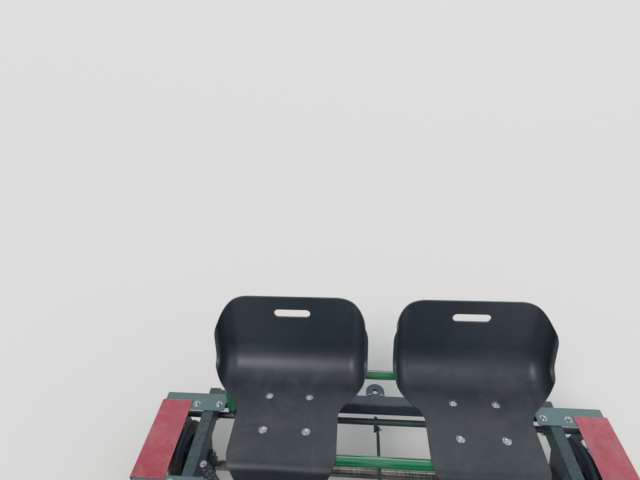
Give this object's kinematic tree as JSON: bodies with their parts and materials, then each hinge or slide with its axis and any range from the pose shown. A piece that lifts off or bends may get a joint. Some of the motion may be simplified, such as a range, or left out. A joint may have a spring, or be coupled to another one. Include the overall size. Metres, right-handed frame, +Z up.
{
  "type": "pedal railway handcar",
  "caption": "Open rail cart with flanged wheels, two rows of moulded seats on bent tube frames, pedal cranks with chains, foot trays, handrail and hand brake.",
  "frame": {"origin": "on the track's centre line, midway between the buffers, at the lowest point of the wheel flanges, 25 mm below the top of the rails", "axes": "+X across the track to the riders' left, +Y backwards along it, +Z up; riders face -Y"},
  "size_m": [1.612, 1.7798, 0.9257],
  "materials": {
    "galvanised_steel": "hot-dip galvanised, dulled by weather",
    "green_paint": "glossy green powder coat",
    "plate_paint": "pale teal-grey paint, dusty",
    "red_paint": "red paint, dusty",
    "tray_paint": "dark blue-green paint, worn",
    "seat_plastic": "dark blue-grey moulded plastic",
    "wheel_steel": "rusty cast steel with a bright tread",
    "axle_steel": "turned steel, oiled",
    "bearing_iron": "painted cast iron",
    "drive_steel": "oiled chain steel",
    "crank_alloy": "satin alloy",
    "black_plastic": "black moulded plastic",
    "black_rubber": "matt black rubber",
    "brake_block": "hardwood brake block, worn"
  },
  "bodies": {
    "chassis": {"side_sills": "galvanised_steel", "cross_members": "galvanised_steel", "corner_braces": "galvanised_steel", "axle_hangers": "galvanised_steel", "axle_bearings": "bearing_iron", "deck_plates": "plate_paint", "wheel_guards": "red_paint", "front_seat_frames": "green_paint", "rear_seat_frames": "green_paint", "front_seat_bars": "green_paint", "rear_seat_bars": "green_paint", "front_seat_left": "seat_plastic", "front_seat_right": "seat_plastic", "rear_seat_left": "seat_plastic", "rear_seat_right": "seat_plastic", "handrail": "green_paint", "handrail_grips": "black_rubber", "end_plugs": "black_plastic", "foot_trays": "tray_paint", "pedal_booms": "green_paint", "crank_shells": "green_paint", "chain_left": "drive_steel", "chain_right": "drive_steel", "lever_bracket": "galvanised_steel", "brake_lugs": "galvanised_steel", "buffers": "black_rubber", "coupling_lugs": "galvanised_steel"},
    "front_axle": {"front_axle": "axle_steel", "front_wheels": "wheel_steel"},
    "rear_axle": {"rear_axle": "axle_steel", "rear_wheels": "wheel_steel"},
    "crank_left": {"crankset_left": "crank_alloy", "chainring_left": "drive_steel"},
    "crank_right": {"crankset_right": "crank_alloy", "chainring_right": "drive_steel"},
    "freewheel_left": {"freewheel_left": "drive_steel"},
    "freewheel_right": {"freewheel_right": "drive_steel"},
    "pedal_left_outer": {"pedal_left_outer": "black_plastic"},
    "pedal_left_inner": {"pedal_left_inner": "black_plastic"},
    "pedal_right_outer": {"pedal_right_outer": "black_plastic"},
    "pedal_right_inner": {"pedal_right_inner": "black_plastic"},
    "brake_lever": {"brake_lever": "galvanised_steel", "brake_grip": "black_rubber"},
    "brake_rod": {"brake_rod": "galvanised_steel"},
    "brake_shaft": {"brake_shaft": "galvanised_steel", "brake_shoes": "brake_block"}
  },
  "joints": [
    {"name": "front_axle_roll", "type": "hinge", "parent": "chassis", "child": "front_axle", "pos_m": [0, -0.616, 0.15], "axis": [1, 0, 0], "continuous": true},
    {"name": "rear_axle_roll", "type": "hinge", "parent": "chassis", "child": "rear_axle", "pos_m": [0, 0.616, 0.15], "axis": [1, 0, 0], "continuous": true},
    {"name": "crank_left_turn", "type": "hinge", "parent": "chassis", "child": "crank_left", "pos_m": [0.3, -0.55, 0.4], "axis": [1, 0, 0], "continuous": true},
    {"name": "freewheel_left_turn", "type": "hinge", "parent": "chassis", "child": "freewheel_left", "pos_m": [0.2575, -0.616, 0.15], "axis": [1, 0, 0], "continuous": true},
    {"name": "pedal_left_outer_turn", "type": "hinge", "parent": "crank_left", "child": "pedal_left_outer", "pos_m": [0.416, -0.715, 0.4], "axis": [1, 0, 0], "continuous": true},
    {"name": "pedal_left_inner_turn", "type": "hinge", "parent": "crank_left", "child": "pedal_left_inner", "pos_m": [0.184, -0.385, 0.4], "axis": [1, 0, 0], "continuous": true},
    {"name": "crank_right_turn", "type": "hinge", "parent": "chassis", "child": "crank_right", "pos_m": [-0.3, -0.55, 0.4], "axis": [1, 0, 0], "continuous": true},
    {"name": "freewheel_right_turn", "type": "hinge", "parent": "chassis", "child": "freewheel_right", "pos_m": [-0.2575, -0.616, 0.15], "axis": [1, 0, 0], "continuous": true},
    {"name": "pedal_right_outer_turn", "type": "hinge", "parent": "crank_right", "child": "pedal_right_outer", "pos_m": [-0.416, -0.715, 0.4], "axis": [1, 0, 0], "continuous": true},
    {"name": "pedal_right_inner_turn", "type": "hinge", "parent": "crank_right", "child": "pedal_right_inner", "pos_m": [-0.184, -0.385, 0.4], "axis": [1, 0, 0], "continuous": true},
    {"name": "brake_lever_pull", "type": "hinge", "parent": "chassis", "child": "brake_lever", "pos_m": [0, -0.277, 0.24], "axis": [1, 0, 0], "range_deg": [-4.6, 0]},
    {"name": "brake_rod_swing", "type": "hinge", "parent": "brake_lever", "child": "brake_rod", "pos_m": [0.01, -0.277, 0.195], "axis": [1, 0, 0], "range_deg": [0, 4.6]},
    {"name": "brake_shaft_turn", "type": "hinge", "parent": "chassis", "child": "brake_shaft", "pos_m": [0, 0.762, 0.24], "axis": [1, 0, 0], "range_deg": [-4.6, 0]}
  ],
  "couplings": [
    {"joint": "freewheel_left_turn", "follows": "crank_left_turn", "ratio": 2.6667},
    {"joint": "freewheel_right_turn", "follows": "crank_right_turn", "ratio": 2.6667},
    {"joint": "brake_rod_swing", "follows": "brake_lever_pull", "ratio": -1},
    {"joint": "brake_shaft_turn", "follows": "brake_lever_pull", "ratio": 1}
  ]
}
